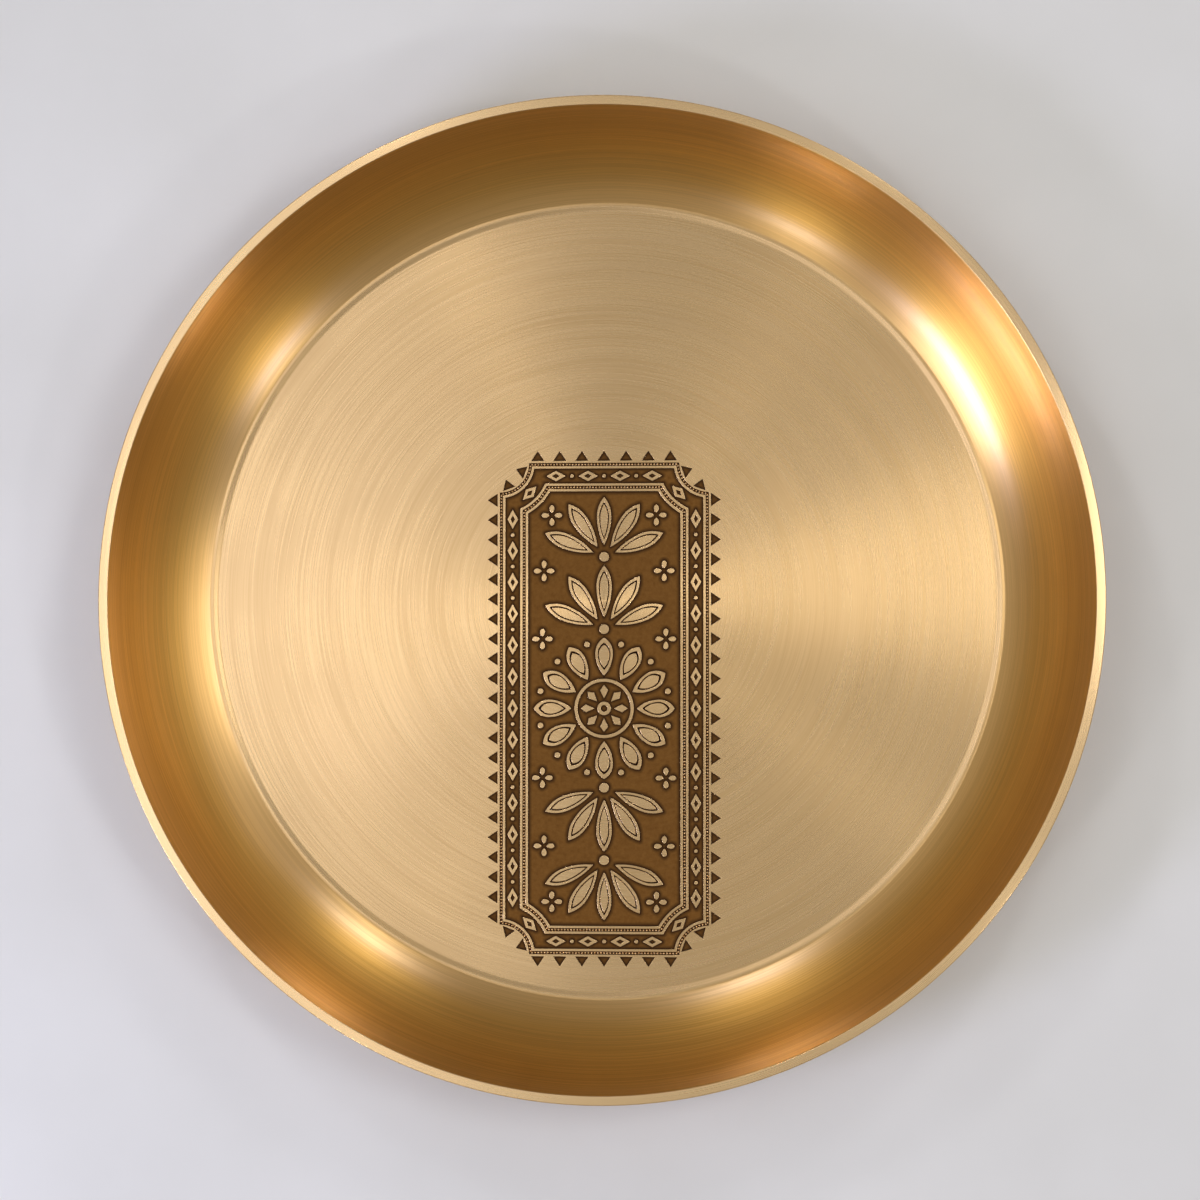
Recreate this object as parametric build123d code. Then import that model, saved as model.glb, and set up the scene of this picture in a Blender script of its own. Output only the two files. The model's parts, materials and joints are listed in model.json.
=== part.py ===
from build123d import *
import os
from math import acos, asin, atan2, cos, degrees, floor, hypot, radians, sin, sqrt, tan

# Thali plate: one turned bronze dish, and the dark lacquer that is set in the pockets of its etched panel.
# Millimetres and degrees. The origin is the centre of the base, +Z is up, and the panel lies towards -Y.

# Dish: its wall rises in one arc, which turns through that sweep, to a flat rim that is thicker than the wall
RIM_DIAMETER = 300.0
RIM_HEIGHT = 32.0
RIM_LAND = 3.0
RIM_LIP = 2.0
RIM_CHAMFER = 0.25
FLOOR_RADIUS = 120.7
FLOOR_THICKNESS = 2.0
WALL_THICKNESS = 1.8
WALL_SWEEP = 48.0

# Turned step between the floor and the foot of the wall, which shows on both faces
STEP_HEIGHT = 0.4
STEP_RUN = 0.8
FOOT_LAND = 1.0

# Etching: how deep the pockets are, and how thick the lacquer lies in them
ETCH_DEPTH = 0.45
LACQUER_THICKNESS = 0.15
OVERCUT = 0.5

# Panel: an upright rectangle whose corners are notched by arcs, with bands counted inwards from its edge
PANEL_HALF_WIDTH = 32.0
PANEL_HALF_HEIGHT = 75.0
PANEL_CLEARANCE = 6.0
NOTCH_RADIUS = 9.0
LINE_WIDTH = 0.8
GROOVE_WIDTH = 0.9
BAND_WIDTH = 4.5

# Sawtooth outside the panel's edge
TOOTH_GAP = 0.7
TOOTH_HEIGHT = 3.0
TOOTH_WIDTH = 4.0
TOOTH_PITCH = 6.0

# Lozenges that stand in the band
LOZENGE_LENGTH = 6.0
LOZENGE_PITCH = 9.4
LOZENGE_GAP = 0.6

# Rosette in the middle of the field, counted outwards: its outer petals reach to the field's margin
FIELD_MARGIN = 1.7
EYE_RADIUS = 1.0
EYE_RING = 1.1
INNER_PETALS = 8
INNER_PETAL_LENGTH = 4.2
RING_WIDTH = 1.0
ROSETTE_GAP = 0.9
OUTER_PETALS = 12

# Lotus fans that stand on each other, above the rosette and below it
FANS = 2
FAN_GAP = 2.6
FAN_PETALS = 5
FAN_SPREAD = 136.0
FAN_FOOT = 3.6
FAN_HEIGHT = 19.5

# Petals: where the belly lies along the length, and how full it is in its sector
PETAL_BELLY = 0.6
PETAL_FULLNESS = 0.65
PETAL_GAP = 0.5

# Band edges, as insets from the panel's edge
OUTER_GROOVE = 0.0
BAND_START = OUTER_GROOVE + GROOVE_WIDTH + LINE_WIDTH
BAND_END = BAND_START + BAND_WIDTH
INNER_GROOVE = BAND_END + LINE_WIDTH
FIELD_START = INNER_GROOVE + GROOVE_WIDTH + LINE_WIDTH

# The panel's middle, set so that the ends of its lower edge clear the step
TOOTH_REACH = TOOTH_GAP + TOOTH_HEIGHT
LOWER_EDGE = PANEL_HALF_WIDTH - NOTCH_RADIUS
CLEAR_RADIUS = FLOOR_RADIUS - STEP_RUN - PANEL_CLEARANCE
PANEL_Y = PANEL_HALF_HEIGHT + TOOTH_REACH - sqrt(CLEAR_RADIUS**2 - LOWER_EDGE**2)

# The field's half sizes, and the rosette's radii in it
FIELD_HALF_WIDTH = PANEL_HALF_WIDTH - FIELD_START
FIELD_HALF_HEIGHT = PANEL_HALF_HEIGHT - FIELD_START
CORE_RADIUS = EYE_RADIUS + EYE_RING
INNER_PETAL_FOOT = CORE_RADIUS + ROSETTE_GAP
INNER_PETAL_TIP = INNER_PETAL_FOOT + INNER_PETAL_LENGTH
RING_INNER = INNER_PETAL_TIP + ROSETTE_GAP
RING_OUTER = RING_INNER + RING_WIDTH
OUTER_PETAL_FOOT = RING_OUTER + ROSETTE_GAP
ROSETTE_RADIUS = FIELD_HALF_WIDTH - FIELD_MARGIN


def dish_section():
    """Half section of the dish, in the XZ plane."""
    rim_radius = RIM_DIAMETER / 2
    foot = (FLOOR_RADIUS + FOOT_LAND, FLOOR_THICKNESS + STEP_HEIGHT)
    top = (rim_radius - RIM_LAND, RIM_HEIGHT - RIM_CHAMFER)
    lip_foot = (rim_radius, RIM_HEIGHT - RIM_LIP)
    lip_root = RIM_HEIGHT - 2 * RIM_LIP

    # The wall's arcs share a centre, and angles on them are counted from straight down
    run, rise = top[0] - foot[0], top[1] - foot[1]
    half = radians(WALL_SWEEP / 2)
    middle = atan2(rise, run)
    inner = hypot(run, rise) / (2 * sin(half))
    outer = inner + WALL_THICKNESS
    centre = (foot[0] - inner * sin(middle - half), foot[1] + inner * cos(middle - half))
    lip_angle = acos((centre[1] - lip_root) / outer)

    def wall(radius, angle):
        """A point on the wall's arc of that radius."""
        return (centre[0] + radius * sin(angle), centre[1] - radius * cos(angle))

    edges = [
        Polyline(
            wall(outer, middle - half),
            (FLOOR_RADIUS, STEP_HEIGHT),
            (FLOOR_RADIUS - STEP_RUN, 0),
            (0, 0),
            (0, FLOOR_THICKNESS),
            (FLOOR_RADIUS - STEP_RUN, FLOOR_THICKNESS),
            (FLOOR_RADIUS, foot[1]),
            foot,
        ),
        ThreePointArc(foot, wall(inner, middle), top),
        Polyline(
            top,
            (top[0] + RIM_CHAMFER, RIM_HEIGHT),
            (rim_radius - RIM_CHAMFER, RIM_HEIGHT),
            (rim_radius, RIM_HEIGHT - RIM_CHAMFER),
            lip_foot,
            wall(outer, lip_angle),
        ),
        ThreePointArc(
            wall(outer, lip_angle),
            wall(outer, (middle - half + lip_angle) / 2),
            wall(outer, middle - half),
        ),
    ]
    return Plane.XZ * make_face(edges)


def disc(radius):
    return Face(Wire.make_circle(radius))


def polygon(*points):
    return Face(Wire.make_polygon(points, close=True))


def ground(face, islands):
    """The faces that are left of a pocket round the metal that stands in it."""
    return (Sketch() + face - islands).faces()


def notch(inset):
    """Radius of the corner arcs at that inset, and how far from the corner they start along the sides."""
    radius = NOTCH_RADIUS + inset
    return radius, sqrt(radius**2 - inset**2)


def outline(inset):
    """The panel's outline at that inset: four sides joined by arcs that curve inwards."""
    x, y = PANEL_HALF_WIDTH, PANEL_HALF_HEIGHT
    radius, cut = notch(inset)
    middle = radius * sqrt(0.5)
    edges = []
    for a, b in ((1, 1), (-1, 1), (-1, -1), (1, -1)):
        side, end = (a * (x - inset), b * (y - cut)), (a * (x - cut), b * (y - inset))
        edges.append(ThreePointArc(side, (a * (x - middle), b * (y - middle)), end))
    for a in (1, -1):
        edges.append(Line((a * (x - inset), cut - y), (a * (x - inset), y - cut)))
        edges.append(Line((cut - x, a * (y - inset)), (x - cut, a * (y - inset))))
    return Face(Wire(edges))


def along_outline(inset, pitch):
    """Places about `pitch` apart round an outline, with X pointing outwards."""
    x, y = PANEL_HALF_WIDTH, PANEL_HALF_HEIGHT
    radius, cut = notch(inset)

    def spaced(length):
        """Distances from the middle of a run of that length."""
        count = max(floor(length / pitch), 1)
        return [length * ((n + 0.5) / count - 0.5) for n in range(count)]

    places = []
    for t in spaced(2 * (y - cut)):
        places += [Pos(x - inset, t), Pos(inset - x, t) * Rot(0, 0, 180)]
    for t in spaced(2 * (x - cut)):
        places += [Pos(t, y - inset) * Rot(0, 0, 90), Pos(t, inset - y) * Rot(0, 0, -90)]
    for t in spaced(radius * (radians(90) - 2 * asin(inset / radius))):
        angle = 45 + degrees(t / radius)
        for a, b, turn in ((1, 1, angle), (-1, 1, 180 - angle), (-1, -1, 180 + angle), (1, -1, -angle)):
            places.append(Pos(a * x, b * y) * Rot(0, 0, turn) * Pos(-radius, 0))
    return places


def groove(inset):
    """A thin groove that runs round the panel."""
    return ground(outline(inset), outline(inset + GROOVE_WIDTH))


def petal(foot, tip, half_width):
    """A lotus petal along +X: narrow at its foot, fullest past the middle, pointed at its tip."""
    belly = foot + PETAL_BELLY * (tip - foot)
    arcs = []
    for side in (1, -1):
        widest = (belly, side * half_width)
        arcs.append(TangentArc(widest, (tip, 0), tangent=(1, 0)))
        arcs.append(TangentArc(widest, (foot, 0), tangent=(-1, 0)))
    return Face(Wire(arcs))


def kite(foot, tip, half_width):
    """A small straight-sided petal along +X."""
    belly = foot + PETAL_BELLY * (tip - foot)
    return polygon((foot, 0), (belly, -half_width), (tip, 0), (belly, half_width))


def sector_petal(sector, foot, tip):
    """(foot, tip, half width) of a petal that fills its sector, less the gap to its neighbour."""
    belly = foot + PETAL_BELLY * (tip - foot)
    return foot, tip, PETAL_FULLNESS * belly * tan(radians(sector / 2)) - PETAL_GAP / 2


def field_reach(y, angle):
    """How far it is from (0, y) to the field's sides, at that angle from +Y."""
    across, up = abs(sin(radians(angle))), cos(radians(angle))
    height = FIELD_HALF_HEIGHT - y
    return height / up if height * across < FIELD_HALF_WIDTH * up else FIELD_HALF_WIDTH / across


def ring_of_petals(shape, count, foot, tip):
    """Petals of that shape evenly round the rosette's middle, one of them pointing up."""
    sector = 360 / count
    return [Rot(0, 0, 90 + n * sector) * shape(*sector_petal(sector, foot, tip)) for n in range(count)]


def fan_petals():
    """The petals of the lotus fans above the rosette, kept inside the field."""
    petals = []
    sector = FAN_SPREAD / (FAN_PETALS - 1)
    for fan in range(FANS):
        y = ROSETTE_RADIUS + FAN_GAP + fan * (FAN_HEIGHT + FAN_GAP)
        for n in range(FAN_PETALS):
            angle = n * sector - FAN_SPREAD / 2
            tip = min(FAN_HEIGHT, field_reach(y, angle) - FIELD_MARGIN)
            place = Pos(0, y) * Rot(0, 0, 90 - angle)
            petals.append(place * petal(*sector_petal(sector, FAN_FOOT, tip)))
    return petals


def sawtooth_pockets():
    """Small triangles round the outside of the panel."""
    half = TOOTH_WIDTH / 2
    tooth = polygon((0, -half), (TOOTH_HEIGHT, 0), (0, half))
    return [place * tooth for place in along_outline(-TOOTH_GAP, TOOTH_PITCH)]


def band_pocket():
    """The band's ground, round its lozenges."""
    middle = BAND_START + BAND_WIDTH / 2
    length, height = LOZENGE_LENGTH / 2, BAND_WIDTH / 2 - LOZENGE_GAP
    lozenge = polygon((-height, 0), (0, -length), (height, 0), (0, length))
    islands = [place * lozenge for place in along_outline(middle, LOZENGE_PITCH)]
    return ground(outline(BAND_START), [outline(BAND_END), *islands])


def field_pocket():
    """The field's ground, round the rosette's ring and every large petal."""
    outer = ring_of_petals(petal, OUTER_PETALS, OUTER_PETAL_FOOT, ROSETTE_RADIUS)
    above = fan_petals()
    below = [Rot(0, 0, 180) * face for face in above]
    return ground(outline(FIELD_START), [disc(RING_OUTER), *outer, *above, *below])


def rosette_pocket():
    """The ground inside the rosette's ring, round its inner petals and its core."""
    inner = ring_of_petals(kite, INNER_PETALS, INNER_PETAL_FOOT, INNER_PETAL_TIP)
    return ground(disc(RING_INNER), [disc(CORE_RADIUS), *inner])


def raised(faces, height):
    """Solids of that height on the floor of the etching."""
    place = Pos(0, PANEL_Y, FLOOR_THICKNESS - ETCH_DEPTH)
    return [place * Solid.extrude(face, Vector(0, 0, height)) for face in faces]


# Each node of lacquer and the pockets that it fills
pockets = {
    "sawtooth_lacquer": sawtooth_pockets(),
    "outer_groove_lacquer": groove(OUTER_GROOVE),
    "lozenge_band_lacquer": band_pocket(),
    "inner_groove_lacquer": groove(INNER_GROOVE),
    "field_lacquer": field_pocket(),
    "rosette_lacquer": rosette_pocket(),
    "rosette_eye_lacquer": [disc(EYE_RADIUS)],
}

cutters = [solid for faces in pockets.values() for solid in raised(faces, ETCH_DEPTH + OVERCUT)]
nodes = {"dish": revolve(dish_section(), Axis.Z).cut(*cutters)}
for name, faces in pockets.items():
    nodes[name] = Compound(raised(faces, LACQUER_THICKNESS))

os.makedirs("parts", exist_ok=True)
for name, shape in nodes.items():
    export_step(shape, f"parts/{name}.step")
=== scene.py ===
import json
from collections import defaultdict
from math import acos, asin, atan2, ceil, cos, floor, hypot, pi, radians, sin, sqrt, tan

import bmesh
import bpy
from mathutils import Matrix, Vector
from mathutils.geometry import delaunay_2d_cdt
from mathutils.kdtree import KDTree


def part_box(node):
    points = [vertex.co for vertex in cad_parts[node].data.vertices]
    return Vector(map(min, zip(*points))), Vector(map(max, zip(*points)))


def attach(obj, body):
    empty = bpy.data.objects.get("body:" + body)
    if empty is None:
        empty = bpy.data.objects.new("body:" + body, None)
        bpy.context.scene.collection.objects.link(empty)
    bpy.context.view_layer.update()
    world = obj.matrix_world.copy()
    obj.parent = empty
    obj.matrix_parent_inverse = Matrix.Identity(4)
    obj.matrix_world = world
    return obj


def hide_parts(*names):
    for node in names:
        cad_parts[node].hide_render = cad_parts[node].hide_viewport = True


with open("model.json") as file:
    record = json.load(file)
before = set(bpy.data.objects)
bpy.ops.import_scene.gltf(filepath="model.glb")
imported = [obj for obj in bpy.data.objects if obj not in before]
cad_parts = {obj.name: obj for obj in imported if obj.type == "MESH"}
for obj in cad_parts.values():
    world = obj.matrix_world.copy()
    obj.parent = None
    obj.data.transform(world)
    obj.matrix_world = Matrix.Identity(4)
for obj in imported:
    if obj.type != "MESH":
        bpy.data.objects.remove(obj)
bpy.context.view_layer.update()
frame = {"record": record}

# Thali plate: a turned and brushed bronze dish with an etched panel whose ground is dark lacquer.
# Shapes are worked out in millimetres in the CAD frame, and MM brings them to metres.

MM = 0.001


def node_box(node):
    """Lowest and highest corner of a CAD node, in millimetres."""
    low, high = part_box(node)
    return low / MM, high / MM


def mount_height(name):
    """Height of a mount's face, in millimetres."""
    mount = next(mount for mount in frame["record"]["mounts"] if mount["name"] == name)
    return mount["pos_m"][2] / MM


# Sizes that the frame gives
panel_low, panel_high = node_box("outer_groove_lacquer")
RIM_RADIUS = node_box("dish")[1].x
RIM_HEIGHT = node_box("dish")[1].z
FLOOR_LEVEL = mount_height("serving_floor")
ETCH_LEVEL = panel_low.z
LACQUER_LEVEL = panel_high.z
PANEL_Y = (panel_low.y + panel_high.y) / 2
PANEL_HALF_WIDTH = panel_high.x
PANEL_HALF_HEIGHT = panel_high.y - PANEL_Y
BAND_START = PANEL_HALF_WIDTH - node_box("lozenge_band_lacquer")[1].x
INNER_GROOVE = PANEL_HALF_WIDTH - node_box("inner_groove_lacquer")[1].x
FIELD_START = PANEL_HALF_WIDTH - node_box("field_lacquer")[1].x
TOOTH_REACH = node_box("sawtooth_lacquer")[1].x - PANEL_HALF_WIDTH
RING_INNER = node_box("rosette_lacquer")[1].x
EYE_RADIUS = node_box("rosette_eye_lacquer")[1].x

# Dish: its section, with the roundings that the CAD model leaves out and a softer step
RIM_LAND = 3.0
RIM_LIP = 2.0
RIM_CHAMFER = 0.25
RIM_ROUND = 0.15
FLOOR_RADIUS = 120.7
WALL_THICKNESS = 1.8
WALL_SWEEP = radians(48)
STEP_HEIGHT = 0.4
STEP_RUN = 1.4
STEP_ROUND = 2.5
FOOT_LAND = 1.0
FOOT_ROUND = 0.8

# How finely the dish is cut, and how far inside the step its floor's own mesh ends
SEGMENTS = 360
WALL_STEPS = 24
SECTION_TURN = radians(5)
FLOOR_MARGIN = 0.5

# Etching: the rounding of the metal's edges, how far its walls lean, and how far the lacquer keys into them
EDGE_ROUND = 0.1
EDGE_STEPS = 3
POCKET_LEAN = 0.03
LACQUER_KEY = 0.01

# How finely the panel is cut: its arcs, its long sides and the grid of points on its lacquer
ARC_STEP = 0.4
ARC_MIN_STEPS = 4
SIDE_STEP = 2.5
GROUND_STEP = 0.5
FILL_TOLERANCE = 1e-7
SHARP_ANGLE = radians(40)

# Panel
NOTCH_RADIUS = 9.0
GROOVE_WIDTH = 0.9
TOOTH_GAP = 0.7
TOOTH_WIDTH = 4.0
TOOTH_PITCH = 6.0
LOZENGE_LENGTH = 6.0
LOZENGE_PITCH = 9.4
LOZENGE_GAP = 0.6
FIELD_MARGIN = 1.7
EYE_RING = 1.1
INNER_PETALS = 8
INNER_PETAL_LENGTH = 4.2
RING_WIDTH = 1.0
ROSETTE_GAP = 0.9
OUTER_PETALS = 12
FANS = 2
FAN_GAP = 2.6
FAN_PETALS = 5
FAN_SPREAD = radians(136)
FAN_FOOT = 3.6
FAN_HEIGHT = 19.5
PETAL_BELLY = 0.6
PETAL_FULLNESS = 0.65
PETAL_GAP = 0.5

# Fine carving: a contour line in each petal, a slit in each lozenge, dots, seeds, bosses, florets and beads
CONTOUR_FOOT = 1.7
CONTOUR_TIP = 1.5
CONTOUR_SIDE = 0.75
CONTOUR_WIDTH = 0.3
CONTOUR_ENDS = 0.7
SLIT_SHARE = 0.4
DOT_RADIUS = 0.6
SEED_RADIUS = 0.9
SEED_INSET = 1.4
BOSS_RADIUS = 1.5
FLORET_PETALS = 4
FLORET_RADIUS = 3.2
FLORET_FOOT = 0.7
FLORET_HALF_WIDTH = 0.8
FLORET_PLACES = ((18.9, 21.2), (18.4, 42.0), (16.0, 59.0))
BEAD_RADIUS = 0.34
BEAD_PITCH = 0.95
BEAD_SIDES = 10
BEAD_RINGS = 3

# Values that follow from these
LINE_WIDTH = BAND_START - GROOVE_WIDTH
BAND_END = INNER_GROOVE - LINE_WIDTH
BAND_MIDDLE = (BAND_START + BAND_END) / 2
LOZENGE_HALF_HEIGHT = (BAND_END - BAND_START) / 2 - LOZENGE_GAP
TOOTH_HEIGHT = TOOTH_REACH - TOOTH_GAP
FIELD_HALF_WIDTH = PANEL_HALF_WIDTH - FIELD_START
FIELD_HALF_HEIGHT = PANEL_HALF_HEIGHT - FIELD_START
CORE_RADIUS = EYE_RADIUS + EYE_RING
INNER_PETAL_FOOT = CORE_RADIUS + ROSETTE_GAP
INNER_PETAL_TIP = INNER_PETAL_FOOT + INNER_PETAL_LENGTH
RING_OUTER = RING_INNER + RING_WIDTH
OUTER_PETAL_FOOT = RING_OUTER + ROSETTE_GAP
ROSETTE_RADIUS = FIELD_HALF_WIDTH - FIELD_MARGIN

# Patterns in the materials. Marks that run round the plate: so many to a millimetre across, so many to a
# radian along, then the noise's detail and roughness. Noise: scale to a metre, detail and roughness.
LINE_MARKS = (2.4, 1.7, 2.0, 0.6)
BAND_MARKS = (0.16, 1.2, 2.0, 0.5)
LACQUER_MARKS = (2.2, 7.0, 3.0, 0.65)
CLOUD_NOISE = (22.0, 3.0, 0.5)
MOTTLE_NOISE = (900.0, 4.0, 0.6)
STUDIO_FLOOR_NOISE = (14.0, 4.0, 0.5)

# Spans of a pattern's values over which a tint or a polish changes, and the depth of fine relief
SPAN = (0.3, 0.7)
LINE_SPAN = (0.35, 0.65)
CLOUD_SPAN = (0.35, 0.7)
LACQUER_MARK_SPAN = (0.3, 0.75)
RELIEF_DEPTH = 0.03

# Bronze: its shader, its tints on the floor, and how strongly lines and clouds show
BRONZE_SHADER = {
    "Metallic": 1.0,
    "Anisotropic": 0.84,
    "Anisotropic Rotation": 0.25,
    "Coat Weight": 1.0,
    "Coat Roughness": 0.22,
}
BAND_DARK = (0.62, 0.385, 0.135, 1)
BAND_LIGHT = (0.68, 0.43, 0.16, 1)
LINE_TINT = (0.80, 0.54, 0.235, 1)
LINE_SHARE = 0.45
LINE_RELIEF = 0.3
CLOUD_TINT = (0.52, 0.29, 0.08, 1)
CLOUD_SHARE = 0.10

# Painted bounce light: the wall's tint multiplies the floor's, in part at the wall's foot and in full past
# the blend, standing in for the deeper, more saturated colour of light bounced between the bronze faces. The
# rim has its own.
WALL_PAINTED_BOUNCE = (1.12, 0.96, 0.48, 1)
WALL_STREAK = (0.53, 0.30, 0.06, 1)
WALL_STREAK_SHARE = 0.4
WALL_FOOT_BOUNCE_SHARE = 0.4
WALL_BOUNCE_BLEND = 10.0
RIM_TINT = (0.86, 0.57, 0.24, 1)

# Roughness of the bronze, and how much lines and clouds change it either way
FLOOR_ROUGHNESS = 0.275
WALL_ROUGHNESS = 0.325
ROUGHNESS_CHANGE = 0.02

# Lacquer: its tints, and how far the painted shade along the walls of its pockets reaches
LACQUER_SHADER = {"Specular IOR Level": 0.05}
LACQUER_DARK = (0.135, 0.054, 0.007, 1)
LACQUER_LIGHT = (0.190, 0.083, 0.014, 1)
LACQUER_MARK_TINT = (0.20, 0.094, 0.020, 1)
LACQUER_MARK_SHARE = 0.35
LACQUER_PAINTED_SHADE = (0.018, 0.006, 0.001, 1)
LACQUER_PAINTED_SHADE_REACH = 1.3
LACQUER_ROUGHNESS = (0.42, 0.56)
LACQUER_RELIEF = 0.3
DISTANCE_LAYER = "wall_distance"

# Studio floor
STUDIO_FLOOR_SHADER = {"Roughness": 0.8}
STUDIO_FLOOR_DARK = (0.75, 0.73, 0.62, 1)
STUDIO_FLOOR_LIGHT = (0.80, 0.78, 0.67, 1)
STUDIO_FLOOR_HALF_SIZE = 3000.0

# Camera: nearly above the plate, tilted off the vertical towards an azimuth from +X
CAMERA_DISTANCE = 1000.0
CAMERA_TILT = radians(4.658)
CAMERA_AZIMUTH = radians(-13.07)
CAMERA_AIM = Vector((1.11, -0.30, RIM_HEIGHT))
CAMERA_LENS = 101.16
CAMERA_SENSOR = 36.0

# Lamps: azimuth from +X and height angle in degrees, distance, width and depth in millimetres, and watts
LAMPS = {
    "key": (207, 31, 900, 170, 250, 2.2),
    "left_fill": (236, 36, 900, 70, 70, 0.42),
    "right_fill": (321, 47, 900, 70, 70, 0.58),
    "back_right": (61, 42, 900, 120, 120, 0.6),
    "back_left": (118, 44, 900, 90, 90, 0.55),
    "right_top": (9, 63, 1100, 280, 280, 1.7),
    "right_softbox": (24, 40, 1000, 350, 650, 0.45),
    "left_top": (176, 74, 1100, 200, 200, 0.2),
    "left_softbox": (180, 73, 1090, 390, 900, 0.92),
}

# Colours of the light: the key is the coolest lamp, and the sky falls off from the zenith to the horizon
KEY_COLOUR = (0.94, 1.0, 1.6)
LAMP_COLOUR = (0.98, 1.0, 1.2)
ZENITH = (0.495, 0.505, 0.555, 1)
HORIZON = (0.135, 0.105, 0.075, 1)
SKY_POWER = 2.0


# Loops: lists of points in the panel's plane, which run anticlockwise

QUARTERS = ((1, 1), (-1, 1), (-1, -1), (1, -1))


def arc(centre, radius, start, end):
    """Points of an arc between two angles."""
    steps = max(ceil(abs(end - start) * radius / ARC_STEP), ARC_MIN_STEPS)
    angles = [start + (end - start) * n / steps for n in range(steps + 1)]
    return [(centre[0] + radius * cos(a), centre[1] + radius * sin(a)) for a in angles]


def disc(radius, centre=(0, 0)):
    return arc(centre, radius, 0, 2 * pi)[:-1]


def placed(loop, x, y, angle):
    """The loop turned by that angle and then moved."""
    c, s = cos(angle), sin(angle)
    return [(x + c * u - s * v, y + s * u + c * v) for u, v in loop]


def offset(loop, distance):
    """The loop moved outwards by that distance, with mitred corners."""
    moved = []
    for (x0, y0), (x, y), (x1, y1) in zip(loop[-1:] + loop[:-1], loop, loop[1:] + loop[:1]):
        before, after = Vector((y - y0, x0 - x)).normalized(), Vector((y1 - y, x - x1)).normalized()
        mitre = (before + after) * distance / (1 + before.dot(after))
        moved.append((x + mitre.x, y + mitre.y))
    return moved


def divided(loop, step):
    """The loop with points added on its long sides."""
    points = []
    for (x, y), (x1, y1) in zip(loop, loop[1:] + loop[:1]):
        parts = ceil(hypot(x1 - x, y1 - y) / step)
        points += [(x + (x1 - x) * n / parts, y + (y1 - y) * n / parts) for n in range(parts)]
    return points


def notch(inset):
    """Radius of the panel's corner arcs at that inset, and how far from the corner the sides end."""
    radius = NOTCH_RADIUS + inset
    return radius, sqrt(radius**2 - inset**2)


def outline(inset):
    """The panel's outline at that inset: four sides joined by arcs that curve inwards."""
    radius, _ = notch(inset)
    lean = asin(inset / radius)
    corner = arc((PANEL_HALF_WIDTH, PANEL_HALF_HEIGHT), radius, 1.5 * pi - lean, pi + lean)
    quarters = [
        corner,
        [(-x, y) for x, y in reversed(corner)],
        [(-x, -y) for x, y in corner],
        [(x, -y) for x, y in reversed(corner)],
    ]
    return divided([point for quarter in quarters for point in quarter], SIDE_STEP)


def along_outline(inset, pitch):
    """Places (x, y, angle) about `pitch` apart round an outline, with X pointing outwards."""
    x, y = PANEL_HALF_WIDTH, PANEL_HALF_HEIGHT
    radius, cut = notch(inset)

    def spaced(length):
        """Distances from the middle of a run of that length."""
        count = max(floor(length / pitch), 1)
        return [length * ((n + 0.5) / count - 0.5) for n in range(count)]

    places = []
    for t in spaced(2 * (y - cut)):
        places += [(x - inset, t, 0), (inset - x, t, pi)]
    for t in spaced(2 * (x - cut)):
        places += [(t, y - inset, pi / 2), (t, inset - y, -pi / 2)]
    for t in spaced(radius * (pi / 2 - 2 * asin(inset / radius))):
        angle = pi / 4 + t / radius
        for (a, b), turn in zip(QUARTERS, (angle, pi - angle, pi + angle, -angle)):
            places.append((a * x - radius * cos(turn), b * y - radius * sin(turn), turn))
    return places


def petal(foot, tip, half_width):
    """A lotus petal along +X: narrow at its foot, fullest past the middle, pointed at its tip."""
    belly = foot + PETAL_BELLY * (tip - foot)

    def flank(reach):
        """Radius of the arc from the belly to an end that lies so far along, and the arc's angle there."""
        radius = (reach**2 + half_width**2) / (2 * half_width)
        return radius, asin(reach / radius)

    tip_radius, tip_turn = flank(tip - belly)
    foot_radius, foot_turn = flank(belly - foot)
    upper = arc((belly, half_width - tip_radius), tip_radius, pi / 2 - tip_turn, pi / 2)
    upper += arc((belly, half_width - foot_radius), foot_radius, pi / 2, pi / 2 + foot_turn)[1:]
    return upper + [(x, -y) for x, y in reversed(upper[1:-1])]


def kite(foot, tip, half_width):
    """A small straight-sided petal along +X."""
    belly = foot + PETAL_BELLY * (tip - foot)
    return [(foot, 0), (belly, -half_width), (tip, 0), (belly, half_width)]


def sector_petal(sector, foot, tip):
    """(foot, tip, half width) of a petal that fills its sector, less the gap to its neighbour."""
    belly = foot + PETAL_BELLY * (tip - foot)
    return foot, tip, PETAL_FULLNESS * belly * tan(sector / 2) - PETAL_GAP / 2


def ring_of_petals(count, foot, tip):
    """(size, place) of petals evenly round the rosette's middle, one of them pointing up."""
    sector = 2 * pi / count
    return [(sector_petal(sector, foot, tip), (0, 0, pi / 2 + n * sector)) for n in range(count)]


def fan_origins():
    """Heights of the fans above the rosette."""
    return [ROSETTE_RADIUS + FAN_GAP + fan * (FAN_HEIGHT + FAN_GAP) for fan in range(FANS)]


def field_reach(y, angle):
    """How far it is from (0, y) to the field's sides, at that angle from +Y."""
    across, up = abs(sin(angle)), cos(angle)
    height = FIELD_HALF_HEIGHT - y
    return height / up if height * across < FIELD_HALF_WIDTH * up else FIELD_HALF_WIDTH / across


def fan_petals():
    """(size, place) of the petals of every lotus fan, above the rosette and below it."""
    petals = []
    sector = FAN_SPREAD / (FAN_PETALS - 1)
    for y in fan_origins():
        for n in range(FAN_PETALS):
            angle = n * sector - FAN_SPREAD / 2
            tip = min(FAN_HEIGHT, field_reach(y, angle) - FIELD_MARGIN)
            size = sector_petal(sector, FAN_FOOT, tip)
            petals += [(size, (0, y, pi / 2 - angle)), (size, (0, -y, -pi / 2 - angle))]
    return petals


# Pockets of the etching: (edge, islands of metal that stand in it)

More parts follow.
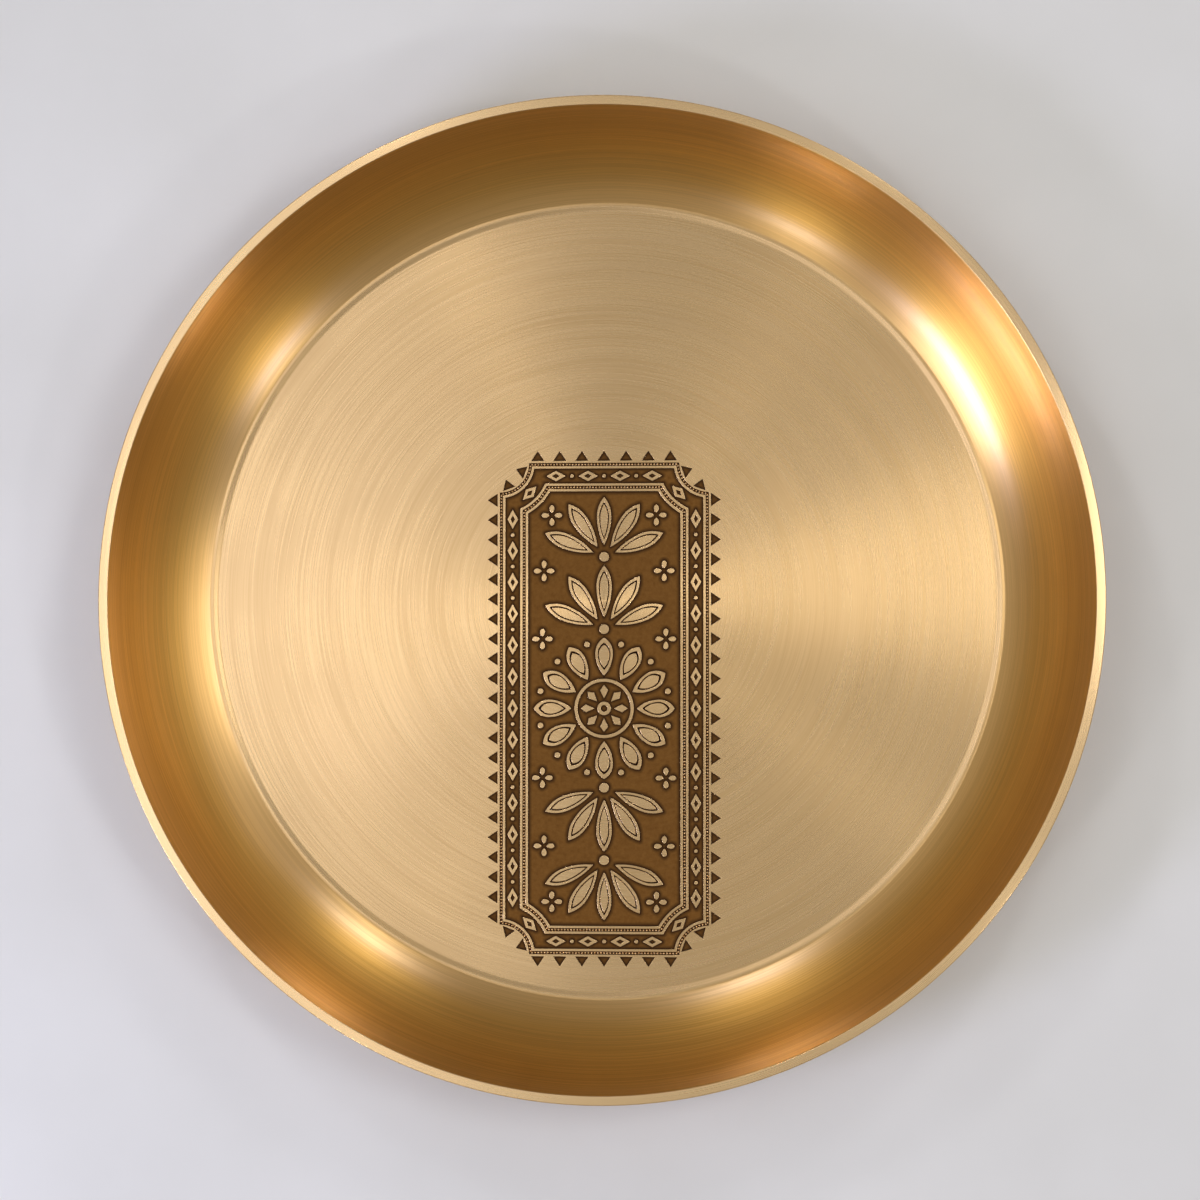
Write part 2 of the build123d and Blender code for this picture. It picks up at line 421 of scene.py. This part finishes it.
LARGE_PETALS = ring_of_petals(OUTER_PETALS, OUTER_PETAL_FOOT, ROSETTE_RADIUS) + fan_petals()
LOZENGES = along_outline(BAND_MIDDLE, LOZENGE_PITCH)


def lozenge(share=1.0):
    height, length = share * LOZENGE_HALF_HEIGHT, share * LOZENGE_LENGTH / 2
    return [(-height, 0), (0, -length), (height, 0), (0, length)]


def sawtooth_pockets():
    tooth = [(0, -TOOTH_WIDTH / 2), (TOOTH_HEIGHT, 0), (0, TOOTH_WIDTH / 2)]
    return [(placed(tooth, *place), []) for place in along_outline(-TOOTH_GAP, TOOTH_PITCH)]


def groove_pocket(inset):
    return [(outline(inset), [outline(inset + GROOVE_WIDTH)])]


def band_dots():
    """Dots of metal half way between neighbouring lozenges on the band's straight sides."""
    dots = []
    for heading in (pi, -pi / 2, 0, pi / 2):
        side = sorted((x, y) for x, y, angle in LOZENGES if angle == heading)
        for (x, y), (x1, y1) in zip(side, side[1:]):
            dots.append(disc(DOT_RADIUS, ((x + x1) / 2, (y + y1) / 2)))
    return dots


def band_pocket():
    lozenges = [placed(lozenge(), *place) for place in LOZENGES]
    return [(outline(BAND_START), [outline(BAND_END), *lozenges, *band_dots()])]


def floret(x, y):
    """Small petals round a point."""
    small = petal(FLORET_FOOT, FLORET_RADIUS, FLORET_HALF_WIDTH)
    return [placed(small, x, y, n * 2 * pi / FLORET_PETALS) for n in range(FLORET_PETALS)]


def field_pocket():
    islands = [disc(RING_OUTER)]
    islands += [placed(petal(*size), *place) for size, place in LARGE_PETALS]
    for n in range(OUTER_PETALS):
        angle = pi / 2 + (n + 0.5) * 2 * pi / OUTER_PETALS
        reach = ROSETTE_RADIUS - SEED_INSET
        islands.append(disc(SEED_RADIUS, (reach * cos(angle), reach * sin(angle))))
    for y in fan_origins():
        islands += [disc(BOSS_RADIUS, (0, y)), disc(BOSS_RADIUS, (0, -y))]
    for x, y in FLORET_PLACES:
        for a, b in QUARTERS:
            islands += floret(a * x, b * y)
    return [(outline(FIELD_START), islands)]


def rosette_pocket():
    petals = ring_of_petals(INNER_PETALS, INNER_PETAL_FOOT, INNER_PETAL_TIP)
    kites = [placed(kite(*size), *place) for size, place in petals]
    return [(disc(RING_INNER), [disc(CORE_RADIUS), *kites])]


def carving_pockets():
    """A contour line in each large petal, and a slit in each lozenge."""
    pockets = []
    for (foot, tip, half_width), place in LARGE_PETALS:
        start, end, side = foot + CONTOUR_FOOT, tip - CONTOUR_TIP, half_width - CONTOUR_SIDE
        line = petal(start, end, side)
        inside = petal(start + CONTOUR_ENDS, end - CONTOUR_ENDS, side - CONTOUR_WIDTH)
        pockets.append((placed(line, *place), [placed(inside, *place)]))
    pockets += [(placed(lozenge(SLIT_SHARE), *place), []) for place in LOZENGES]
    return pockets


# The pockets that each node's lacquer fills, and those of the fine carving
NODE_POCKETS = {
    "sawtooth_lacquer": sawtooth_pockets(),
    "outer_groove_lacquer": groove_pocket(0),
    "lozenge_band_lacquer": band_pocket(),
    "inner_groove_lacquer": groove_pocket(INNER_GROOVE),
    "field_lacquer": field_pocket(),
    "rosette_lacquer": rosette_pocket(),
    "rosette_eye_lacquer": [(disc(EYE_RADIUS), [])],
}
CARVING = carving_pockets()


# Meshes

def sides_of(face):
    return [frozenset(side) for side in zip(face, face[1:] + face[:1])]


def enclosed(faces, walls):
    """The faces that lie inside an odd number of walls, found by a walk from the outermost faces inwards."""
    beside = defaultdict(list)
    for n, face in enumerate(faces):
        for side in sides_of(face):
            beside[side].append(n)
    inside = {owners[0]: side in walls for side, owners in beside.items() if len(owners) == 1}
    queue = list(inside)
    while queue:
        n = queue.pop()
        for side in sides_of(faces[n]):
            for other in beside[side]:
                if other not in inside:
                    inside[other] = inside[n] ^ (side in walls)
                    queue.append(other)
    return [face for n, face in enumerate(faces) if inside[n]]


class Shell:
    """A closed mesh that is put together ring by ring, in millimetres."""

    def __init__(self):
        self.points = []
        self.faces = []
        self.smooth = []

    def ring(self, loop, z):
        """Adds a loop at that height and returns its indices."""
        start = len(self.points)
        self.points += [(x, y, z) for x, y in loop]
        return list(range(start, len(self.points)))

    def add(self, face, smooth):
        self.faces.append(face)
        self.smooth.append(smooth)

    def bridge(self, one, other):
        """Joins two rings of as many points by a smooth band."""
        for n in range(len(one)):
            self.add((one[n - 1], one[n], other[n], other[n - 1]), True)

    def fill(self, rings, z, extra=()):
        """Fills the area inside an odd number of rings with flat triangles, also through extra points."""
        indices = [i for ring in rings for i in ring] + self.ring(extra, z)
        edges, start = [], 0
        for ring in rings:
            edges += [(start + n, start + (n + 1) % len(ring)) for n in range(len(ring))]
            start += len(ring)
        flat = [Vector(self.points[i][:2]) for i in indices]
        _, sides, faces, sources, side_sources, _ = delaunay_2d_cdt(flat, edges, [], 0, FILL_TOLERANCE)
        walls = {frozenset(side) for side, source in zip(sides, side_sources) if source}
        for face in enclosed(faces, walls):
            self.add([indices[sources[v][0]] for v in face], False)

    def piece(self, name, material, slot, *nodes):
        """The finished object, which rides on the plate and stands for those CAD nodes."""
        mesh = bpy.data.meshes.new(name)
        mesh.from_pydata([Vector(point) * MM for point in self.points], [], self.faces)
        shape = bmesh.new()
        shape.from_mesh(mesh)
        bmesh.ops.recalc_face_normals(shape, faces=shape.faces)
        shape.to_mesh(mesh)
        shape.free()
        # Marking sharp edges makes every face smooth, so the flat ones are set after it
        mesh.set_sharp_from_angle(angle=SHARP_ANGLE)
        mesh.polygons.foreach_set("use_smooth", self.smooth)
        mesh.materials.append(material)
        made = bpy.data.objects.new(name, mesh)
        bpy.context.collection.objects.link(made)
        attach(made, "root")
        if nodes:
            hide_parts(*nodes)
        return made


# Dish

def rounded(corners):
    """Points of a section through (x, z, rounding radius) corners."""
    points = [Vector(corners[0][:2])]
    for before, (x, z, radius), after in zip(corners, corners[1:], corners[2:]):
        corner = Vector((x, z))
        if not radius:
            points.append(corner)
            continue
        back = (Vector(before[:2]) - corner).normalized()
        ahead = (Vector(after[:2]) - corner).normalized()
        turn = pi - back.angle(ahead)
        centre = corner + (back + ahead).normalized() * radius / cos(turn / 2)
        start = corner + back * radius * tan(turn / 2) - centre
        side = 1 if back.cross(ahead) < 0 else -1
        steps = ceil(turn / SECTION_TURN)
        for n in range(steps + 1):
            angle = side * turn * n / steps
            c, s = cos(angle), sin(angle)
            points.append(centre + Vector((start.x * c - start.y * s, start.x * s + start.y * c)))
    points.append(Vector(corners[-1][:2]))
    return points


def dish_section():
    """The dish's section from the floor's edge over the rim to the base."""
    step_foot = FLOOR_RADIUS - STEP_RUN
    foot = (FLOOR_RADIUS + FOOT_LAND, FLOOR_LEVEL + STEP_HEIGHT)
    top = (RIM_RADIUS - RIM_LAND, RIM_HEIGHT - RIM_CHAMFER)
    # Under the rim, the lip slopes back to the wall over as much height as it has itself
    lip_root = RIM_HEIGHT - 2 * RIM_LIP

    # The wall's arcs share a centre, and angles on them are counted from straight down
    run, rise = top[0] - foot[0], top[1] - foot[1]
    start = atan2(rise, run) - WALL_SWEEP / 2
    inner = hypot(run, rise) / (2 * sin(WALL_SWEEP / 2))
    outer = inner + WALL_THICKNESS
    centre = (foot[0] - inner * sin(start), foot[1] + inner * cos(start))

    def wall(radius, end):
        """Corners along the wall's arc of that radius, from its foot to that angle."""
        angles = [start + (end - start) * n / WALL_STEPS for n in range(WALL_STEPS + 1)]
        return [(centre[0] + radius * sin(a), centre[1] - radius * cos(a), 0) for a in angles]

    return rounded([
        (step_foot - FLOOR_MARGIN, FLOOR_LEVEL, 0),
        (step_foot, FLOOR_LEVEL, STEP_ROUND),
        (FLOOR_RADIUS, foot[1], STEP_ROUND),
        (*foot, FOOT_ROUND),
        *wall(inner, start + WALL_SWEEP)[1:-1],
        (*top, RIM_ROUND),
        (top[0] + RIM_CHAMFER, RIM_HEIGHT, RIM_ROUND),
        (RIM_RADIUS - RIM_CHAMFER, RIM_HEIGHT, RIM_ROUND),
        (RIM_RADIUS, RIM_HEIGHT - RIM_CHAMFER, RIM_ROUND),
        (RIM_RADIUS, RIM_HEIGHT - RIM_LIP, RIM_ROUND),
        *wall(outer, acos((centre[1] - lip_root) / outer))[:0:-1],
        (*wall(outer, start)[0][:2], STEP_ROUND),
        (FLOOR_RADIUS, STEP_HEIGHT, STEP_ROUND),
        (step_foot, 0, STEP_ROUND),
        (step_foot - FLOOR_MARGIN, 0, 0),
    ])


def on_floor(loop):
    """A loop of the panel in the plate's own place."""
    return [(x, y + PANEL_Y) for x, y in loop]


def etched_edge(shell, loop, outwards):
    """The rounded edge and leaning wall of one pocket's edge or island: returns its top and bottom rings."""
    steps = []
    for n in range(EDGE_STEPS + 1):
        turn = pi / 2 * n / EDGE_STEPS
        steps.append((EDGE_ROUND * (1 - sin(turn)), EDGE_ROUND * (1 - cos(turn))))
    steps.append((-POCKET_LEAN, FLOOR_LEVEL - ETCH_LEVEL))
    rings = [shell.ring(on_floor(offset(loop, outwards * out)), FLOOR_LEVEL - down) for out, down in steps]
    for upper, lower in zip(rings, rings[1:]):
        shell.bridge(upper, lower)
    return rings[0], rings[-1]


def dish(material):
    """The turned dish with every pocket etched into its floor."""
    shell = Shell()
    turns = [2 * pi * n / SEGMENTS for n in range(SEGMENTS)]
    rings = [shell.ring([(x * cos(a), x * sin(a)) for a in turns], z) for x, z in dish_section()]
    for upper, lower in zip(rings, rings[1:]):
        shell.bridge(upper, lower)
    shell.add(rings[-1], False)
    tops, bottoms = [], []
    for pockets in [*NODE_POCKETS.values(), CARVING]:
        for edge, islands in pockets:
            ends = [etched_edge(shell, edge, 1)] + [etched_edge(shell, island, -1) for island in islands]
            tops += [top for top, _ in ends]
            bottoms += [bottom for _, bottom in ends]
    shell.fill([rings[0], *tops], FLOOR_LEVEL)
    shell.fill(bottoms, ETCH_LEVEL)
    return shell.piece("dish_metal", material, "bronze", "dish")


# Lacquer and beads

def ground_points(edge):
    """A grid of points over a pocket, with every second column half a step further up."""
    xs, ys = [x for x, _ in edge], [y for _, y in edge]
    left, low = min(xs), min(ys)
    columns, rows = floor((max(xs) - left) / GROUND_STEP), floor((max(ys) - low) / GROUND_STEP)
    return [(left + (i + 0.5) * GROUND_STEP, low + (j + 0.5 * (i % 2) + 0.25) * GROUND_STEP)
            for i in range(columns) for j in range(rows)]


def lacquer(name, pockets, material, *nodes):
    """The lacquer in those pockets, with each point's distance from the pocket's walls for the shade painted
    along them.
    """
    shell = Shell()
    distances = []
    for edge, islands in pockets:
        loops = [offset(edge, LACQUER_KEY)] + [offset(island, -LACQUER_KEY) for island in islands]
        near = [point for loop in loops for point in divided(loop, GROUND_STEP / 2)]
        tree = KDTree(len(near))
        for n, (x, y) in enumerate(near):
            tree.insert((x, y, 0), n)
        tree.balance()
        grid = [(point, tree.find((*point, 0))[2]) for point in ground_points(edge)]
        grid = [(point, distance) for point, distance in grid if distance > GROUND_STEP / 2]
        tops = [shell.ring(on_floor(loop), LACQUER_LEVEL) for loop in loops]
        bottoms = [shell.ring(on_floor(loop), ETCH_LEVEL) for loop in loops]
        for top, bottom in zip(tops, bottoms):
            shell.bridge(top, bottom)
        shell.fill(bottoms, ETCH_LEVEL)
        shell.fill(tops, LACQUER_LEVEL, on_floor([point for point, _ in grid]))
        distances += [0.0] * sum(len(ring) for ring in tops + bottoms)
        distances += [distance for _, distance in grid]
    made = shell.piece(name, material, "lacquer", *nodes)
    layer = made.data.attributes.new(DISTANCE_LAYER, "FLOAT", "POINT")
    layer.data.foreach_set("value", distances)
    return made


def bead_ring(x, y, radius):
    turns = [2 * pi * n / BEAD_SIDES for n in range(BEAD_SIDES)]
    return on_floor([(x + radius * cos(a), y + radius * sin(a)) for a in turns])


def bead_rows(material):
    """Rows of small beads along both grooves, rooted in the lacquer and as high as the floor."""
    shell = Shell()
    height = FLOOR_LEVEL - LACQUER_LEVEL
    for inset in (0, INNER_GROOVE):
        for x, y, _ in along_outline(inset + GROOVE_WIDTH / 2, BEAD_PITCH):
            rings = [shell.ring(bead_ring(x, y, BEAD_RADIUS), ETCH_LEVEL)]
            for n in range(BEAD_RINGS):
                turn = pi / 2 * n / BEAD_RINGS
                level = LACQUER_LEVEL + height * sin(turn)
                rings.append(shell.ring(bead_ring(x, y, BEAD_RADIUS * cos(turn)), level))
            for lower, upper in zip(rings, rings[1:]):
                shell.bridge(upper, lower)
            shell.add(rings[0], False)
            top, = shell.ring(on_floor([(x, y)]), FLOOR_LEVEL)
            for n in range(BEAD_SIDES):
                shell.add((rings[-1][n - 1], rings[-1][n], top), True)
    return shell.piece("bead_rows", material, "bronze")


# Materials

def node(tree, kind, inputs=None, **settings):
    """Adds a node. Each input is a number, a colour or the socket that feeds it."""
    made = tree.nodes.new(kind)
    for key, value in settings.items():
        setattr(made, key, value)
    for key, value in (inputs or {}).items():
        if isinstance(value, bpy.types.NodeSocket):
            tree.links.new(value, made.inputs[key])
        else:
            made.inputs[key].default_value = value
    return made


def new_material(name, shader_inputs):
    """A material with one Principled shader, and the tree to add the rest to."""
    material = bpy.data.materials.new(name)
    material.use_nodes = True
    tree = material.node_tree
    tree.nodes.clear()
    shader = node(tree, "ShaderNodeBsdfPrincipled", shader_inputs)
    node(tree, "ShaderNodeOutputMaterial", {"Surface": shader.outputs[0]})
    return material, tree, shader


def feed(tree, shader, sources):
    """Links those sockets to the shader's inputs."""
    for key, source in sources.items():
        tree.links.new(source, shader.inputs[key])


def maths(tree, operation, a, b=0.0):
    return node(tree, "ShaderNodeMath", {0: a, 1: b}, operation=operation).outputs[0]


def mapped(tree, value, low, high, to_low=0.0, to_high=1.0):
    """A value moved from one range to another."""
    inputs = {"Value": value, "From Min": low, "From Max": high, "To Min": to_low, "To Max": to_high}
    return node(tree, "ShaderNodeMapRange", inputs).outputs[0]


def mixed(tree, factor, a, b, blend="MIX"):
    """A mix of two colours."""
    made = node(tree, "ShaderNodeMix", {0: factor, 6: a, 7: b}, data_type="RGBA", blend_type=blend)
    return made.outputs[2]


def own_place(tree):
    """A point's place in its object's own frame, in metres."""
    return node(tree, "ShaderNodeTexCoord").outputs["Object"]


def noise(tree, vector, scale, detail, roughness):
    inputs = {"Vector": vector, "Scale": scale, "Detail": detail, "Roughness": roughness}
    return node(tree, "ShaderNodeTexNoise", inputs).outputs["Fac"]


def turned(tree):
    """A point's distance from the plate's axis in millimetres, its heading from there, and its height."""
    axes = node(tree, "ShaderNodeSeparateXYZ", {0: own_place(tree)}).outputs
    level = node(tree, "ShaderNodeCombineXYZ", {0: axes[0], 1: axes[1]}).outputs[0]
    radius = node(tree, "ShaderNodeVectorMath", {0: level}, operation="LENGTH").outputs["Value"]
    heading = node(tree, "ShaderNodeVectorMath", {0: level}, operation="NORMALIZE").outputs["Vector"]
    return maths(tree, "DIVIDE", radius, MM), heading, maths(tree, "DIVIDE", axes[2], MM)


def brushed(tree, across, along, detail, roughness):
    """Marks that run round the plate: so many to a millimetre across, so many to a radian along."""
    radius, heading, height = turned(tree)
    run = maths(tree, "MULTIPLY", maths(tree, "ADD", radius, height), across)
    run = node(tree, "ShaderNodeCombineXYZ", {2: run}).outputs[0]
    inputs = {0: heading, 1: (along,) * 3, 2: run}
    place = node(tree, "ShaderNodeVectorMath", inputs, operation="MULTIPLY_ADD").outputs["Vector"]
    return noise(tree, place, 1.0, detail, roughness)


def relief(tree, height, strength):
    """A normal that follows a pattern as fine relief."""
    inputs = {"Strength": strength, "Distance": RELIEF_DEPTH * MM, "Height": height}
    return node(tree, "ShaderNodeBump", inputs).outputs[0]


def bronze():
    """Warm bronze, brushed in circles: fine lines, broad bands and faint clouds, with a painted bounce
    deeper on the wall.
    """
    material, tree, shader = new_material("bronze", BRONZE_SHADER)
    lines = brushed(tree, *LINE_MARKS)
    bands = brushed(tree, *BAND_MARKS)
    clouds = noise(tree, own_place(tree), *CLOUD_NOISE)

    # Where the wall and the rim are, by their distance from the axis
    radius = turned(tree)[0]
    rim_start = RIM_RADIUS - RIM_LAND
    on_rim = mapped(tree, radius, rim_start, rim_start + RIM_CHAMFER)
    past_floor = mapped(tree, radius, FLOOR_RADIUS, FLOOR_RADIUS + FOOT_LAND)
    on_wall = maths(tree, "SUBTRACT", past_floor, on_rim)

    tint = mixed(tree, mapped(tree, bands, *SPAN), BAND_DARK, BAND_LIGHT)
    tint = mixed(tree, mapped(tree, lines, *LINE_SPAN, 0.0, LINE_SHARE), tint, LINE_TINT)
    tint = mixed(tree, mapped(tree, clouds, *CLOUD_SPAN, 0.0, CLOUD_SHARE), tint, CLOUD_TINT)
    # Painted bounce light: the wall is tinted deeper and more saturated, as light bounced within the dish
    # would make it
    painted_bounce_and_streaks = mixed(tree, 1.0, tint, WALL_PAINTED_BOUNCE, "MULTIPLY")
    painted_bounce_and_streaks = mixed(tree, mapped(tree, lines, *LINE_SPAN, WALL_STREAK_SHARE, 0.0), painted_bounce_and_streaks, WALL_STREAK)
    depth = mapped(tree, radius, FLOOR_RADIUS, FLOOR_RADIUS + WALL_BOUNCE_BLEND, WALL_FOOT_BOUNCE_SHARE, 1.0)
    tint = mixed(tree, maths(tree, "MULTIPLY", on_wall, depth), tint, painted_bounce_and_streaks)
    tint = mixed(tree, on_rim, tint, RIM_TINT)

    roughness = mapped(tree, on_wall, 0.0, 1.0, FLOOR_ROUGHNESS, WALL_ROUGHNESS)
    uneven = mapped(tree, clouds, *SPAN, -ROUGHNESS_CHANGE, ROUGHNESS_CHANGE)
    roughness = maths(tree, "ADD", roughness, uneven)
    scored = mapped(tree, lines, *SPAN, ROUGHNESS_CHANGE, -ROUGHNESS_CHANGE)
    roughness = maths(tree, "ADD", roughness, scored)

    tangent = node(tree, "ShaderNodeTangent", direction_type="RADIAL", axis="Z").outputs[0]
    normal = relief(tree, lines, LINE_RELIEF)
    feed(tree, shader, {"Base Color": tint, "Roughness": roughness, "Normal": normal, "Tangent": tangent})
    return material


def lacquer_finish():
    """Dark brown lacquer: mottled, faintly brushed, with shade painted along the walls of its pockets."""
    material, tree, shader = new_material("lacquer", LACQUER_SHADER)
    mottle = noise(tree, own_place(tree), *MOTTLE_NOISE)
    marks = brushed(tree, *LACQUER_MARKS)
    distance = node(tree, "ShaderNodeAttribute", attribute_name=DISTANCE_LAYER).outputs["Fac"]
    tint = mixed(tree, mapped(tree, mottle, *SPAN), LACQUER_DARK, LACQUER_LIGHT)
    marked = mapped(tree, marks, *LACQUER_MARK_SPAN, 0.0, LACQUER_MARK_SHARE)
    tint = mixed(tree, marked, tint, LACQUER_MARK_TINT)
    # Painted shade: the lacquer darkens near its pocket's walls, as the recess would shade it
    painted_shade = mapped(tree, distance, 0.0, LACQUER_PAINTED_SHADE_REACH, 1.0, 0.0)
    tint = mixed(tree, painted_shade, tint, LACQUER_PAINTED_SHADE)
    roughness = mapped(tree, mottle, *SPAN, *LACQUER_ROUGHNESS)
    normal = relief(tree, mottle, LACQUER_RELIEF)
    feed(tree, shader, {"Base Color": tint, "Roughness": roughness, "Normal": normal})
    return material


def studio_floor_finish():
    """Pale matt floor with a faint mottle."""
    material, tree, shader = new_material("pale_floor", STUDIO_FLOOR_SHADER)
    mottle = noise(tree, own_place(tree), *STUDIO_FLOOR_NOISE)
    tint = mixed(tree, mapped(tree, mottle, *SPAN), STUDIO_FLOOR_DARK, STUDIO_FLOOR_LIGHT)
    feed(tree, shader, {"Base Color": tint})
    return material


# Stage

def direction(azimuth, height):
    return Vector((cos(azimuth) * cos(height), sin(azimuth) * cos(height), sin(height)))


def aim(thing, target):
    """Turns a camera or lamp so that it looks at the target, with +Y up in the picture."""
    ahead = (target * MM - thing.location).normalized()
    side = ahead.cross(Vector((0, 1, 0))).normalized()
    thing.rotation_mode = "QUATERNION"
    thing.rotation_quaternion = Matrix((side, side.cross(ahead), -ahead)).transposed().to_quaternion()


def camera():
    data = bpy.data.cameras.new("camera")
    data.lens = CAMERA_LENS
    data.sensor_width = CAMERA_SENSOR
    made = bpy.data.objects.new("camera", data)
    bpy.context.collection.objects.link(made)
    rim_centre = Vector((0, 0, RIM_HEIGHT))
    made.location = (rim_centre + CAMERA_DISTANCE * direction(CAMERA_AZIMUTH, pi / 2 - CAMERA_TILT)) * MM
    aim(made, CAMERA_AIM)
    bpy.context.scene.camera = made


def lamps():
    for name, (azimuth, height, distance, width, depth, power) in LAMPS.items():
        data = bpy.data.lights.new(name, "AREA")
        data.shape = "RECTANGLE"
        data.size = width * MM
        data.size_y = depth * MM
        data.energy = power
        data.color = KEY_COLOUR if name == "key" else LAMP_COLOUR
        made = bpy.data.objects.new(name, data)
        bpy.context.collection.objects.link(made)
        made.location = direction(radians(azimuth), radians(height)) * distance * MM
        aim(made, Vector((0, 0, FLOOR_LEVEL)))
        made.visible_camera = False


def sky():
    """Soft light that falls off from the zenith to the horizon."""
    world = bpy.data.worlds.new("studio")
    bpy.context.scene.world = world
    world.use_nodes = True
    tree = world.node_tree
    tree.nodes.clear()
    way = node(tree, "ShaderNodeTexCoord").outputs["Generated"]
    height = node(tree, "ShaderNodeSeparateXYZ", {0: way}).outputs[2]
    rise = maths(tree, "POWER", maths(tree, "MAXIMUM", height, 0.0), SKY_POWER)
    shade = node(tree, "ShaderNodeBackground", {"Color": mixed(tree, rise, HORIZON, ZENITH)})
    node(tree, "ShaderNodeOutputWorld", {"Surface": shade.outputs[0]})


def studio_floor():
    mesh = bpy.data.meshes.new("floor")
    corners = [Vector((a, b, 0)) * STUDIO_FLOOR_HALF_SIZE * MM for a, b in QUARTERS]
    mesh.from_pydata(corners, [], [range(len(corners))])
    mesh.materials.append(studio_floor_finish())
    made = bpy.data.objects.new("floor", mesh)
    bpy.context.collection.objects.link(made)


metal = bronze()
finish = lacquer_finish()
dish(metal)
bead_rows(metal)
for node_name, pockets in NODE_POCKETS.items():
    lacquer(node_name.replace("_lacquer", "_fill"), pockets, finish, node_name)
lacquer("carving_fill", CARVING, finish)

camera()
lamps()
sky()
studio_floor()
bpy.context.scene.view_settings.view_transform = "Standard"
